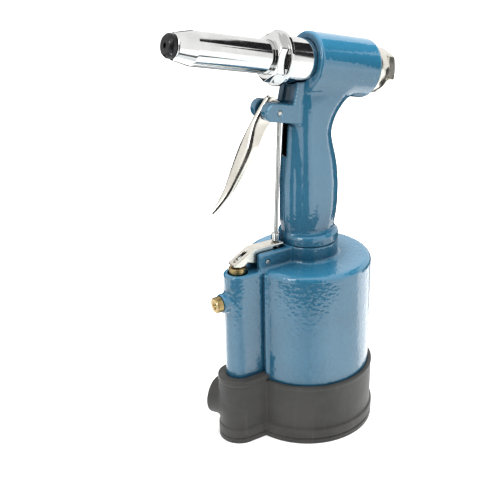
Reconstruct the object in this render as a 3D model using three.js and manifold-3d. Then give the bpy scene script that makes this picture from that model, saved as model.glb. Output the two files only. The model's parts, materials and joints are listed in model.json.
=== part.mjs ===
// Hand riveter, air over oil: an air cylinder in the base drives a ram up the grip,
// and the oil above the ram draws the pulling head back.
// Millimetres, +Z up. Origin: centre of the cylinder's axis, on the underside of the boot.
// The nose points towards -X, the symmetry plane is y = 0.
import * as THREE from 'three';
import { mergeVertices } from 'three/addons/utils/BufferGeometryUtils.js';
import Module from 'manifold-3d';

const wasm = await Module();
wasm.setup();

// ---- Driving dimensions --------------------------------------------------------------
const GAP = 0.3; // between pieces that rest on each other in the tilted head
const FIT = 0.05; // radial clearance of a turned fit
const LARGE = 48; // facets round the cylinder and the boot
const MIDDLE = 36; // facets round the head
const ROUND = 28; // facets round other turned pieces
const SMALL = 16; // facets round pins and small holes

// air cylinder
const CYL_R = 43;
const CYL_BORE_R = 39.4;
const CYL_BOTTOM = 3.3;
const CYL_TOP = 123.7;
const CYL_EDGE = 4;
const ROOF_UNDER = 114.5;
const BOSS_R = 20.2;
const BOSS_TOP = 135;

// valve column in front of the cylinder
const VALVE_X = -56;
const VALVE_R = 9.4;
const VALVE_TOP = 123.5;
const WEB_HALF = 9.4;
const BEAD = [-41.5, 11.9]; // bead along each side of the web
const BEAD_R = 1.7;
const LINER_R = 5;
const VALVE_STROKE = 4;

// air inlet at the foot of the column
const INLET_Z = 26;
const INLET_ANGLE = 60; // degrees from -X towards +Y
const INLET_R = 8;

// handle
const FLANGE_BOTTOM = BOSS_TOP + GAP;
const FLANGE_TOP = 142.5;
const SPIGOT_R = 13.6;
const RAM_R = 6;
const RAM_BORE_R = 7.4;

// pulling head, tilted nose up; s runs along its axis towards the tail, h is up from the axis
const HEAD_Z = 253.5;
const HEAD_TILT = 12;
const HEAD_R = 19.1;
const HEAD_FRONT = -4.7;
const HEAD_REAR = 44.5;
const HEAD_BORE_R = 14;
const ROD_R = 8.2;
const PULL_STROKE = 16;
const SLEEVE_R = 10.3;
const SLEEVE_BORE_R = 8.8;
const SLEEVE_FRONT = -97.4;
const NUT_FRONT = -33.2;
const NUT_FLATS = 26.4;
const ADAPTER_R = 14.1;
const ADAPTER_FRONT = -23.5;

// linkage
const TRIGGER_PIVOT = [-28.7, 226.9];
const EAR_INNER = 3.4;
const EAR_OUTER = 9.2;
const LINK_ARM = 5.9;
const ROD_BOTTOM = [-26.7, 132];
const ROD_WIRE_R = 1.3;
const ROCKER_PIVOT = [-37.9, 128.9];
const ROCKER_HALF = 4.1;
const BRACKET_INNER = 4.6;
const BRACKET_OUTER = 8.2;
const PLATE = 1.2;

// ---- Colours -------------------------------------------------------------------------
const FINISH = {
  enamel: [0x4f86a6, 0.3, 0.2],
  chrome: [0xd8d9da, 0.12, 1],
  nickel: [0xc9c2b4, 0.25, 1],
  steel: [0x9a9da0, 0.35, 1],
  aluminium: [0xb8bbbe, 0.4, 1],
  black: [0x2b2b2c, 0.45, 0.7],
  brass: [0xc2a25a, 0.3, 1],
  rubber: [0x3c3d3b, 0.75, 0],
};
const MATERIAL = {};
for (const [name, [color, roughness, metalness]] of Object.entries(FINISH)) {
  MATERIAL[name] = new THREE.MeshStandardMaterial({ color, roughness, metalness });
}

// ---- Solid helpers -------------------------------------------------------------------
const rad = THREE.MathUtils.degToRad;

// Turns a closed three.js geometry into a solid that faces outwards.
function solid(geometry) {
  const bare = geometry.clone();
  bare.deleteAttribute('normal');
  bare.deleteAttribute('uv');
  const merged = mergeVertices(bare, 1e-4);
  const tris = new Uint32Array(merged.index.array);
  const verts = new Float32Array(merged.attributes.position.array);
  if (signedVolume(verts, tris) < 0) {
    for (let i = 0; i < tris.length; i += 3) {
      [tris[i], tris[i + 1]] = [tris[i + 1], tris[i]];
    }
  }
  return new wasm.Manifold(new wasm.Mesh({ numProp: 3, vertProperties: verts, triVerts: tris }));
}

function signedVolume(v, t) {
  let sum = 0;
  for (let i = 0; i < t.length; i += 3) {
    const [a, b, c] = [t[i] * 3, t[i + 1] * 3, t[i + 2] * 3];
    sum += v[a] * (v[b + 1] * v[c + 2] - v[b + 2] * v[c + 1]);
    sum += v[a + 1] * (v[b + 2] * v[c] - v[b] * v[c + 2]);
    sum += v[a + 2] * (v[b] * v[c + 1] - v[b + 1] * v[c]);
  }
  return sum;
}

// Turned body about Z from [radius, z] points that start and end on the axis.
function turned(points, segments = ROUND) {
  const profile = points.map(([r, z]) => new THREE.Vector2(r, z));
  return solid(new THREE.LatheGeometry(profile, segments).rotateX(Math.PI / 2));
}

// Ring about Z: closed [radius, z] profile away from the axis.
function ring(points, segments = ROUND) {
  return turned([...points, points[0]], segments);
}

function disc(r, z0, z1, segments = ROUND) {
  return turned([[0, z0], [r, z0], [r, z1], [0, z1]], segments);
}

function tube(rOuter, rInner, z0, z1, segments = ROUND) {
  return ring([[rInner, z0], [rOuter, z0], [rOuter, z1], [rInner, z1]], segments);
}

function torus(major, minor, z, segments = ROUND, sides = 5) {
  return solid(new THREE.TorusGeometry(major, minor, sides, segments).translate(0, 0, z));
}

function block(x0, x1, y0, y1, z0, z1) {
  const box = new THREE.BoxGeometry(x1 - x0, y1 - y0, z1 - z0);
  return solid(box.translate((x0 + x1) / 2, (y0 + y1) / 2, (z0 + z1) / 2));
}

// Plate cut from an x-z outline, lying between y0 and y1.
function plate(shape, y0, y1, curveSegments = 10) {
  const extruded = new THREE.ExtrudeGeometry(shape, {
    depth: y1 - y0, bevelEnabled: false, curveSegments,
  });
  return solid(extruded.rotateX(Math.PI / 2).translate(0, y1, 0));
}

function outline(points) {
  return new THREE.Shape(points.map(([a, b]) => new THREE.Vector2(a, b)));
}

// Closed skin over rings of equal point count, capped at both ends.
function loft(rings) {
  const count = rings[0].length;
  const positions = rings.flat(2);
  const index = [];
  for (let k = 0; k + 1 < rings.length; k += 1) {
    for (let i = 0; i < count; i += 1) {
      const j = (i + 1) % count;
      const [a, b, c, d] = [k * count + i, k * count + j, (k + 1) * count + i, (k + 1) * count + j];
      index.push(a, b, d, a, d, c);
    }
  }
  for (let i = 1; i + 1 < count; i += 1) {
    const top = (rings.length - 1) * count;
    index.push(0, i + 1, i, top, top + i, top + i + 1);
  }
  const geometry = new THREE.BufferGeometry();
  geometry.setAttribute('position', new THREE.Float32BufferAttribute(positions, 3));
  geometry.setIndex(index);
  return solid(geometry);
}

// Helical spring about Z with closed round wire and flat-lying first and last coils.
function spring(radius, wire, z0, z1, turns, sides = 5) {
  const steps = Math.round(turns * 9);
  const rings = [];
  for (let k = 0; k <= steps; k += 1) {
    const t = k / steps;
    const angle = t * turns * 2 * Math.PI;
    const z = z0 + wire + (z1 - z0 - 2 * wire) * t;
    const ringPoints = [];
    for (let i = 0; i < sides; i += 1) {
      const a = (i / sides) * 2 * Math.PI;
      const r = radius + wire * Math.cos(a);
      ringPoints.push([r * Math.cos(angle), r * Math.sin(angle), z + wire * Math.sin(a)]);
    }
    rings.push(ringPoints);
  }
  return loft(rings);
}

function hexPrism(acrossFlats, z0, z1, turn = 0) {
  const r = acrossFlats / 2 / Math.cos(Math.PI / 6);
  const prism = new THREE.CylinderGeometry(r, r, z1 - z0, 6).rotateX(Math.PI / 2);
  return solid(prism.rotateZ(rad(turn)).translate(0, 0, (z0 + z1) / 2));
}

// Hexagon with both end edges turned off to a chamfer.
function hexNut(acrossFlats, z0, z1, chamfer, turn = 0) {
  const corner = acrossFlats / 2 / Math.cos(Math.PI / 6);
  const inner = corner - 1.8 * chamfer;
  const turning = turned([
    [0, z0], [inner, z0], [corner + 0.05, z0 + chamfer],
    [corner + 0.05, z1 - chamfer], [inner, z1], [0, z1],
  ]);
  return hexPrism(acrossFlats, z0, z1, turn).intersect(turning);
}

// Moves a solid built about Z so that its Z runs along the head axis towards the tail.
function onHead(body) {
  return body.rotate([0, 90, 0]).rotate([0, HEAD_TILT, 0]).translate([0, 0, HEAD_Z]);
}

// Moves a solid drawn in (s, y, h) to the row frame.
function headFrame(body) {
  return body.rotate([0, HEAD_TILT, 0]).translate([0, 0, HEAD_Z]);
}

// Moves a solid built about Z so that its Z runs from the valve axis along the inlet.
function onInlet(body) {
  return body.rotate([0, 90, 0]).rotate([0, 0, 180 - INLET_ANGLE]).translate([VALVE_X, 0, INLET_Z]);
}

function pinY(x, z, r, y0, y1, segments = SMALL) {
  return disc(r, y0, y1, segments).rotate([-90, 0, 0]).translate([x, 0, z]);
}

const group = new THREE.Group();

function add(name, body, finish) {
  const mesh = body.getMesh();
  const geometry = new THREE.BufferGeometry();
  const positions = new THREE.Float32BufferAttribute(mesh.vertProperties, 3);
  geometry.setAttribute('position', positions);
  geometry.setIndex(new THREE.Uint32BufferAttribute(mesh.triVerts, 1));
  geometry.computeVertexNormals();
  const part = new THREE.Mesh(geometry, MATERIAL[finish]);
  part.name = name;
  group.add(part);
}

// ---- Cylinder housing ----------------------------------------------------------------
function quarterArc(cr, cz, r, from, to, steps) {
  const points = [];
  for (let i = 0; i <= steps; i += 1) {
    const a = rad(from + ((to - from) * i) / steps);
    points.push([cr + r * Math.cos(a), cz + r * Math.sin(a)]);
  }
  return points;
}

function beads(r, z0, z1) {
  const [x, y] = BEAD;
  const bead = disc(r, z0, z1, SMALL);
  return bead.translate([x, y, 0]).add(bead.translate([x, -y, 0]));
}

function cylinderHousing() {
  const edge = quarterArc(CYL_R - CYL_EDGE, CYL_TOP - CYL_EDGE, CYL_EDGE, 0, 90, 4);
  const bossFoot = quarterArc(BOSS_R + 2, CYL_TOP + 2, 2, 270, 180, 3);
  let body = turned([
    [0, CYL_BOTTOM], [CYL_R, CYL_BOTTOM], ...edge, ...bossFoot,
    [BOSS_R, BOSS_TOP - 0.8], [BOSS_R - 0.8, BOSS_TOP], [0, BOSS_TOP],
  ], LARGE);
  const column = turned([
    [0, CYL_BOTTOM], [VALVE_R, CYL_BOTTOM],
    ...quarterArc(VALVE_R - 1.5, VALVE_TOP - 1.5, 1.5, 0, 90, 2), [0, VALVE_TOP],
  ], ROUND).translate([VALVE_X, 0, 0]);
  const web = block(VALVE_X, -38, -WEB_HALF, WEB_HALF, CYL_BOTTOM, VALVE_TOP);
  body = body.add(column).add(web).add(beads(BEAD_R, CYL_BOTTOM, CYL_TOP - CYL_EDGE));
  body = body.add(plate(bracketOutline(), -BRACKET_OUTER, BRACKET_OUTER));
  body = body.add(onInlet(disc(10.4, 0, 18)));
  body = body.add(disc(6.4, 0, 13.5, 24).rotate([0, -90, 0]).translate([VALVE_X, 0, 104]));

  body = body.subtract(block(-60, -21.2, -BRACKET_INNER, BRACKET_INNER, CYL_TOP, 150));
  body = body.subtract(disc(CYL_BORE_R, 0, ROOF_UNDER, LARGE));
  body = body.subtract(ring([[38, 4.3], [41.1, 4.3], [41.1, 5.9], [38, 5.9]], LARGE));
  body = body.subtract(disc(SPIGOT_R + 0.1, 100, 150));
  body = body.subtract(disc(6.4, 103.8, 112.4, 28).translate([VALVE_X, 0, 0]));
  body = body.subtract(disc(6.6, 112.3, 130, 28).translate([VALVE_X, 0, 0]));
  body = body.subtract(disc(LINER_R + FIT, 0, 104, 28).translate([VALVE_X, 0, 0]));
  body = body.subtract(disc(1.8, 0, 20, 12).rotate([0, 90, 0]).translate([VALVE_X, 0, 13]));
  body = body.subtract(onInlet(disc(INLET_R + FIT, 8, 20)));
  body = body.subtract(onInlet(disc(3, 0, 20, SMALL)));
  body = body.subtract(disc(3.5, 6, 14, 20).rotate([0, -90, 0]).translate([VALVE_X, 0, 104]));
  body = body.subtract(rockerPinHole());
  return body;
}

function bracketOutline() {
  const shape = new THREE.Shape();
  shape.moveTo(-10, 120);
  shape.lineTo(-40, 120);
  shape.quadraticCurveTo(-44.6, 122, -44.4, 128);
  shape.lineTo(-44.2, BOSS_TOP - 2);
  shape.quadraticCurveTo(-44, BOSS_TOP - 0.3, -42.2, BOSS_TOP - 0.2);
  shape.lineTo(-10, BOSS_TOP - 0.2);
  return shape;
}

function rockerPinHole() {
  return pinY(...ROCKER_PIVOT, 1.52, -20, 20);
}

// ---- Rubber boot ---------------------------------------------------------------------
// Outline of the boot: the main circle joined to the lobe around the valve column.
function bootSlice(rMain, rLobe, flat, z0, z1) {
  const lobe = disc(rLobe, z0, z1).translate([VALVE_X - 1, 0, 0]);
  const sides = block(VALVE_X - 1, -38, -flat, flat, z0, z1);
  return disc(rMain, z0, z1, LARGE).add(lobe).add(sides);
}

function rubberBoot() {
  const collarEnd = 20;
  let boot = bootSlice(45.5, 13.6, 13.6, 11.2, 44);
  boot = boot.add(bootSlice(46.8, 14.4, 14.4, 4.6, 11.3));
  boot = boot.add(bootSlice(46.1, 13.8, 13.8, 3.8, 4.7));
  boot = boot.add(bootSlice(46.6, 14.3, 14.3, 0, 3.9));
  const upperLobe = disc(13.6, 43, 49).translate([VALVE_X - 1, 0, 0]);
  boot = boot.add(upperLobe.add(block(VALVE_X - 1, -41.8, -13.6, 13.6, 43, 49)));
  boot = boot.add(onInlet(disc(12.8, 4, collarEnd)));

  const inner = disc(CYL_R + 0.15, 3, 60, LARGE);
  const column = disc(VALVE_R + 0.15, 3, 60).translate([VALVE_X, 0, 0]);
  const web = block(VALVE_X, -38, -WEB_HALF - 0.15, WEB_HALF + 0.15, 3, 60);
  boot = boot.subtract(inner.add(column).add(web).add(beads(BEAD_R + 0.15, 3, 60)));
  boot = boot.subtract(onInlet(disc(10.6, 0, 30)));
  return boot;
}

// ---- Handle and head casting ---------------------------------------------------------
// Oval section: front and back reach along X, half width along Y.
function oval(z, front, back, half, count = 32) {
  const power = 2 / 2.35;
  const centre = (front + back) / 2;
  const reach = (back - front) / 2;
  const points = [];
  for (let i = 0; i < count; i += 1) {
    const a = (i / count) * 2 * Math.PI;
    const [c, s] = [Math.cos(a), Math.sin(a)];
    const x = centre + reach * Math.sign(c) * Math.abs(c) ** power;
    const y = half * Math.sign(s) * Math.abs(s) ** power;
    points.push([x, y, z]);
  }
  return points;
}

const GRIP = [
  [FLANGE_TOP - 3, -15.6, 16.4, 14.1],
  [FLANGE_TOP + 3, -15.8, 17.6, 14.3],
  [152, -16, 19.1, 14.7],
  [161, -16, 20, 14.9],
  [172, -16, 20.2, 14.9],
  [184, -15.9, 19.2, 14.6],
  [192, -15.7, 17.6, 14.3],
  [199, -15.5, 15.6, 13.9],
  [207, -15.4, 13.7, 13.6],
  [213, -15.6, 14.6, 13.8],
  [219, -15.8, 17.2, 14.1],
  [224, -16, 21, 14.4],
  [229, -16.2, 26.6, 14.6],
  [234, -16.4, 32.5, 14.4],
  [240, -16.4, 36, 13.4],
];

// Front ridge of the grip, a rounded strip that carries the pull rod's groove.
function ridge() {
  const levels = [
    [FLANGE_BOTTOM + 1, -20, 8.6], [FLANGE_TOP + 2, -20.2, 8.6], [152, -21.3, 8.6],
    [178, -21.3, 8.6], [196, -20.2, 8.4], [210, -19.4, 8.2], [215, -18.8, 7.6],
    [217.2, -17.2, 6.4],
  ];
  return loft(levels.map(([z, front, half]) => oval(z, front, front + 24, half, 24)));
}

function trapezoidWeb() {
  return outline([[-13.6, -34], [-13.6, -12], [6, -12], [6, -34]]);
}

function earOutline() {
  const shape = new THREE.Shape();
  shape.moveTo(-4, -38);
  shape.lineTo(-27, -38);
  shape.absarc(-27.1, -32, 6, -Math.PI / 2, Math.PI / 2, true);
  shape.lineTo(-4, -26);
  return shape;
}

function handleHead() {
  let body = loft(GRIP.map((row) => oval(...row)));
  body = body.add(ridge());
  body = body.add(turned([
    [0, 106.5], [SPIGOT_R, 106.5], [SPIGOT_R, FLANGE_BOTTOM], [BOSS_R - 0.8, FLANGE_BOTTOM],
    [BOSS_R, FLANGE_BOTTOM + 0.8],
    ...quarterArc(BOSS_R - 2, FLANGE_TOP - 2, 2, 0, 90, 3), [0, FLANGE_TOP],
  ], MIDDLE));
  body = body.add(headFrame(plate(trapezoidWeb(), -EAR_OUTER, EAR_OUTER)));
  body = body.add(headFrame(plate(earOutline(), -EAR_OUTER, EAR_OUTER)));
  body = body.subtract(onHead(disc(ADAPTER_R + 0.5, -70, HEAD_FRONT - 0.05)));
  body = body.add(onHead(turned([
    [0, HEAD_FRONT], [HEAD_R - 1.3, HEAD_FRONT], [HEAD_R, HEAD_FRONT + 1.3],
    ...quarterArc(HEAD_R - 2.2, HEAD_REAR - 2.2, 2.2, 0, 90, 3), [0, HEAD_REAR],
  ], MIDDLE)));

  body = body.subtract(onHead(disc(HEAD_BORE_R, -20, 60, MIDDLE)));
  body = body.subtract(disc(RAM_BORE_R, 100, 244));
  body = body.subtract(disc(10, 100, 124));
  body = body.subtract(headFrame(block(-50, -12.4, -EAR_INNER, EAR_INNER, -50, -15.5)));
  body = body.subtract(block(-24, -14.4, -2.7, 2.7, 196, 224));
  body = body.subtract(pinY(...TRIGGER_PIVOT, 1.52, -20, 20));
  return body;
}

// ---- Pieces on the head axis ---------------------------------------------------------
function frontAdapter() {
  let body = turned([
    [0, ADAPTER_FRONT], [ADAPTER_R - 0.8, ADAPTER_FRONT], [ADAPTER_R, ADAPTER_FRONT + 0.8],
    [ADAPTER_R, HEAD_FRONT - GAP], [HEAD_BORE_R - 0.1, HEAD_FRONT - GAP],
    [HEAD_BORE_R - 0.1, 1.4], [0, 1.4],
  ], MIDDLE);
  body = body.subtract(disc(ROD_R + FIT, -30, 10, MIDDLE));
  body = body.subtract(disc(SLEEVE_R + 0.1, -30, -12.2));
  return onHead(body);
}

function noseSleeve() {
  let body = turned([
    [0, SLEEVE_FRONT], [7.4, SLEEVE_FRONT], [7.9, SLEEVE_FRONT + 0.5],
    [SLEEVE_R, -85.6], [SLEEVE_R, -12.5], [0, -12.5],
  ], MIDDLE);
  body = body.subtract(disc(5.6, -99, -89));
  body = body.subtract(disc(SLEEVE_BORE_R, -90, 0));
  return onHead(body);
}

function sleeveNut() {
  const rear = ADAPTER_FRONT - GAP;
  const hex = hexNut(NUT_FLATS, NUT_FRONT, rear - 2.2, 1.3, 30);
  const flange = turned([[0, rear - 2.6], [17, rear - 2.4], [17, rear], [0, rear]], MIDDLE);
  return onHead(hex.add(flange).subtract(disc(SLEEVE_R + 0.1, -60, 0)));
}

function nosepiece() {
  const body = turned([
    [1.6, -102.2], [5.9, -102.2], [7.2, -100.2], [7.2, SLEEVE_FRONT - GAP],
    [5.5, SLEEVE_FRONT - GAP], [5.5, -88.8], [3.2, -88.8], [2.6, -82.1], [1.6, -82.1],
    [1.6, -102.2],
  ]);
  return onHead(body);
}

function rearCap() {
  let body = turned([
    [0, 37], [HEAD_BORE_R - 0.1, 37], [HEAD_BORE_R - 0.1, HEAD_REAR + GAP],
    [16.5, HEAD_REAR + GAP], [16.5, 47], [15.4, 51.4], [13.8, 54.9], [13.8, 55.8], [0, 55.8],
  ], MIDDLE);
  body = body.add(hexNut(26, 54.9, 60.6, 0.9, 16));
  body = body.subtract(ring([[12.3, 39.4], [14.5, 39.4], [14.5, 42], [12.3, 42]], MIDDLE));
  body = body.subtract(disc(10, 36, 54.9, SMALL));
  return onHead(body);
}

function hydraulicPiston() {
  const body = turned([
    [4.2, -44.2], [6, -44.2], [6, -32.4], [ROD_R, -32.4], [ROD_R, 3],
    [HEAD_BORE_R - 0.07, 3], [HEAD_BORE_R - 0.07, 7.6], [12.1, 7.6], [12.1, 10.4],
    [HEAD_BORE_R - 0.07, 10.4], [HEAD_BORE_R - 0.07, 15], [0, 15], [0, -12], [4.2, -12],
    [4.2, -44.2],
  ], MIDDLE);
  return onHead(body);
}

function jawCase() {
  const body = turned([
    [3.7, -86.2], [7.4, -86.2], [8.3, -84.8], [8.3, -32.6], [6.05, -32.6],
    [6.05, -44.6], [6.3, -44.6], [6.3, -70], [3.7, -84], [3.7, -86.2],
  ]);
  return onHead(body);
}

const JAW_SLOPE = (6.3 - 3.7) / 14;
function jaw(turn) {
  const clearance = 0.3;
  const outerAt = (s) => 6.3 - JAW_SLOPE * (-70 - s) - clearance;
  let body = turned([
    [1.6, -81.5], [outerAt(-81.5), -81.5], [outerAt(-70.5), -70.5], [1.6, -70.5],
    [1.6, -81.5],
  ], ROUND);
  const halfGap = 0.5;
  for (const side of [60, -60]) {
    const cut = block(-20, 20, -halfGap, 20, -90, -60).rotate([0, 0, side]);
    const other = block(-20, 20, -20, halfGap, -90, -60).rotate([0, 0, side]);
    body = body.subtract(side > 0 ? cut : other);
  }
  return onHead(body.rotate([0, 0, turn]));
}

function jawPusher() {
  return onHead(turned([
    [1.5, -70.2], [5.8, -70.2], [5.8, -66], [3.8, -65.6], [3.8, -50], [1.5, -50], [1.5, -70.2],
  ], SMALL));
}

// ---- Air piston and ram --------------------------------------------------------------
function airPiston() {
  return ring([
    [RAM_R + FIT, 15], [36, 15], [38.9, 16.2], [38.9, 19.3], [36, 19.3], [36, 22.9],
    [38.9, 22.9], [38.9, 27], [20, 27], [18, 25], [RAM_R + FIT, 25],
  ], MIDDLE);
}

function ram() {
  return turned([
    [0, 13.4], [9, 13.4], [9, 14.8], [RAM_R, 14.8], [RAM_R, 125], [RAM_R - 1, 126.5], [0, 126.5],
  ]);
}

// ---- Linkage -------------------------------------------------------------------------
// Trigger: pressed channel, web to the front, flanges running back past the pivot.
function triggerSide() {
  const shape = new THREE.Shape();
  shape.moveTo(-33.2, 235.6);
  shape.quadraticCurveTo(-41.5, 226, -45.9, 217.2);
  shape.bezierCurveTo(-52, 204.5, -57.5, 193.5, -62.2, 183.8);
  shape.quadraticCurveTo(-66, 176.6, -75.2, 168.2);
  shape.lineTo(-74.2, 167);
  shape.quadraticCurveTo(-66.4, 172.8, -61.2, 178.6);
  shape.bezierCurveTo(-54.2, 187.5, -46, 203, -38.6, 212.8);
  shape.quadraticCurveTo(-33, 220.4, -27, 222.2);
  shape.lineTo(-21.6, 223.6);
  shape.quadraticCurveTo(-19.4, 226.6, -21.6, 229.8);
  shape.lineTo(-29.5, 236.2);
  return shape;
}

function triggerHollow() {
  const shape = new THREE.Shape();
  shape.moveTo(-31.4, 240);
  shape.lineTo(-31.9, 235);
  shape.quadraticCurveTo(-40.4, 225.4, -44.7, 216.6);
  shape.bezierCurveTo(-50.8, 203.9, -56.3, 192.9, -61, 183.2);
  shape.quadraticCurveTo(-62.9, 179.6, -66, 175.6);
  shape.lineTo(-60, 165);
  shape.lineTo(-10, 215);
  shape.lineTo(-10, 240);
  return shape;
}

// Leaf outline of the trigger seen from the front: [half width, height] rows.
const TRIGGER_LEAF = [
  [2.9, 242], [2.9, 223], [3.3, 219], [4.2, 216], [6.4, 207], [6.4, 200], [5.6, 192],
  [4.6, 185], [3.4, 177], [2.4, 172], [2, 160],
];
const TRIGGER_TOP_HALF = TRIGGER_LEAF[0][0];
const SHEET = 0.9;

function triggerLeaf(inset) {
  const near = TRIGGER_LEAF.map(([half, z]) => [inset - half, z]);
  const far = TRIGGER_LEAF.map(([half, z]) => [half - inset, z]).reverse();
  return plate(outline([...near, ...far]), 10, 90).rotate([0, 0, 90]);
}

function trigger() {
  let body = plate(triggerSide(), -8, 8, 8).intersect(triggerLeaf(0));
  body = body.subtract(plate(triggerHollow(), -8, 8, 8).intersect(triggerLeaf(SHEET)));
  body = body.subtract(pinY(...TRIGGER_PIVOT, 1.56, -20, 20));
  const [x, z] = TRIGGER_PIVOT;
  return body.subtract(pinY(x + LINK_ARM, z, 1.22, -20, 20));
}

const ROD_TOP = [TRIGGER_PIVOT[0] + LINK_ARM, TRIGGER_PIVOT[1]];
const ROD_LEAN = Math.atan2(ROD_TOP[0] - ROD_BOTTOM[0], ROD_TOP[1] - ROD_BOTTOM[1]);

// Moves a solid drawn with Z along the rod and z = 0 at its lower end.
function onRod(body) {
  return body.rotate([0, THREE.MathUtils.radToDeg(ROD_LEAN), 0])
    .translate([ROD_BOTTOM[0], 0, ROD_BOTTOM[1]]);
}

function pullRod() {
  const length = Math.hypot(ROD_TOP[0] - ROD_BOTTOM[0], ROD_TOP[1] - ROD_BOTTOM[1]);
  let body = disc(ROD_WIRE_R, 0, length - 2.2, 16);
  body = body.add(block(-3.1, 3.1, -1.6, 1.6, length - 3.4, length + 2.8));
  const slot = block(-0.8, 0.8, -5, 5, -1.45, 1.45);
  const ends = [-0.8, 0.8].map((x) => pinY(x, 0, 1.45, -5, 5, 16));
  body = body.subtract(slot.add(ends[0]).add(ends[1]).translate([0, 0, length]));
  return onRod(body);
}

function rockerSide() {
  return outline([
    [-22.6, 138], [-45.4, 138.4], [-47.2, 137.8], [-60.6, 130.2], [-60.8, 129],
    [-58.6, 128.3], [-56, 127.8], [-53, 128], [-50.4, 130], [-44, 127.8], [-40.4, 126.3],
    [-37.9, 125.7], [-35.4, 126.8], [-32, 131.4], [-30.6, 136.2], [-22.6, 136.6],
  ]);
}

function rockerHollow() {
  return outline([
    [-22, 136.7], [-30.6, 136.7], [-45, 137.2], [-46.6, 136.6], [-59.2, 129.5], [-59.4, 120],
    [-22, 120],
  ]);
}

function rockerLever() {
  let body = plate(rockerSide(), -ROCKER_HALF, ROCKER_HALF);
  const inner = ROCKER_HALF - PLATE;
  const skin = plate(rockerHollow(), -inner, inner);
  const roller = pinY(VALVE_X, 129.6, 1.9, -ROCKER_HALF, ROCKER_HALF);
  body = body.subtract(skin);
  body = body.subtract(pinY(...ROCKER_PIVOT, 1.56, -20, 20));
  const fork = block(-28.4, -20, -1.8, 1.8, 132, 144);
  const armSlot = block(-58.8, -49.4, -1.4, 1.4, 126, 142);
  return body.subtract(fork).subtract(armSlot).add(roller);
}

// ---- Valve train ---------------------------------------------------------------------
function valveLiner() {
  return turned([
    [2.56, 112.2], [6.3, 112.2], [6.3, 104], [LINER_R, 104], [LINER_R, 46], [1.7, 46],
    [1.7, 49], [3.7, 49], [3.7, 96], [2.56, 96], [2.56, 112.2],
  ], 28);
}

function valveButton() {
  return turned([
    [0, 66], [1.4, 66], [1.4, 72], [3.62, 72], [3.62, 75], [2.35, 75], [2.35, 76.8],
    [3.62, 76.8], [3.62, 80], [2.5, 80], [2.5, 116.4], [5.5, 116.4], [5.8, 116.7],
    [5.8, 126.5], [5, 127.3], [0, 127.3],
  ], 28);
}

function reliefPlug() {
  let plug = turned([
    [0, 7.1], [3.4, 7.1], [3.4, 13.7], [4.9, 13.7], [5.3, 14.1], [5.3, 17.2], [4.6, 18], [0, 18],
  ], 28);
  plug = plug.subtract(disc(1.1, 10, 20, 14));
  return plug.rotate([0, -90, 0]).translate([VALVE_X, 0, 104]);
}

function inletBush() {
  const bush = hexNut(17, 18.2, 21.6, 0.7, 0).add(disc(INLET_R, 8.2, 18.4));
  return onInlet(bush.subtract(disc(5.7, 9.5, 30, SMALL)).subtract(disc(3, 0, 30, SMALL)));
}

const atValve = (body) => body.translate([VALVE_X, 0, 0]);

// ---- Assembly ------------------------------------------------------------------------
add('cylinder_housing', cylinderHousing(), 'enamel');
add('handle_head', handleHead(), 'enamel');
add('rubber_boot', rubberBoot(), 'rubber');
add('base_cap', turned([
  [0, 6.3], [39.3, 6.3], [39.3, 7.4], [36.7, 7.4], [36.7, 10.2], [39.3, 10.2], [39.3, 11.4], [0, 11.4],
], LARGE), 'aluminium');
add('base_cap_oring', torus(38.15, 1.1, 8.8, MIDDLE), 'rubber');
add('base_snap_ring', tube(41, 38.6, 4.45, 5.75, LARGE), 'steel');
add('handle_lock_nut', tube(19, SPIGOT_R + 0.12, 107, 114.2), 'steel');
add('ram_gland', tube(9.9, RAM_R + FIT, 107, 119.6), 'brass');
add('ram_seal', torus(7.6, 1.5, 121.6), 'rubber');
add('front_adapter', frontAdapter(), 'chrome');
add('nose_sleeve', noseSleeve(), 'chrome');
add('sleeve_nut', sleeveNut(), 'chrome');
add('nosepiece', nosepiece(), 'black');
add('rear_cap', rearCap(), 'chrome');
add('rear_cap_oring', onHead(torus(13.2, 0.75, 40.7)), 'rubber');
add('return_spring', onHead(spring(8.4, 1.1, 31.8, 54.6, 7)), 'steel');
add('trigger_pin', pinY(...TRIGGER_PIVOT, 1.5, -9.6, 9.6), 'steel');
add('rocker_pin', pinY(...ROCKER_PIVOT, 1.5, -8.6, 8.6), 'steel');
add('valve_liner', atValve(valveLiner()), 'brass');
add('valve_spring', atValve(spring(2.6, 0.45, 49.2, 71.9, 6)), 'steel');
add('valve_bottom_plug', atValve(disc(LINER_R, 3.6, 10.6, 28)), 'brass');
add('relief_plug', reliefPlug(), 'brass');
add('inlet_bush', inletBush(), 'steel');
add('piston_spring', spring(28, 1.5, 27.2, 114.2, 7), 'steel');

add('trigger', trigger(), 'nickel');
add('trigger_link_pin', pinY(...ROD_TOP, 1.2, -TRIGGER_TOP_HALF, TRIGGER_TOP_HALF), 'steel');

add('pull_rod', pullRod(), 'steel');
add('rod_collar', onRod(tube(2.9, ROD_WIRE_R + 0.04, 6.9, 12.2, SMALL)), 'chrome');
add('rod_nut', onRod(hexPrism(5.6, 0.3, 3.4).subtract(disc(ROD_WIRE_R + 0.04, -1, 9, SMALL))), 'steel');

add('rocker_lever', rockerLever(), 'nickel');

add('valve_button', atValve(valveButton()), 'brass');
add('valve_seal', atValve(torus(3.02, 0.6, 75.9, SMALL)), 'rubber');

add('air_piston', airPiston(), 'aluminium');
add('air_piston_seal', torus(37.75, 1.5, 21.1, MIDDLE), 'rubber');
add('ram', ram(), 'steel');
add('ram_nut', hexPrism(18, 25.1, 31).subtract(disc(RAM_R + FIT, 20, 40)), 'steel');

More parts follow.
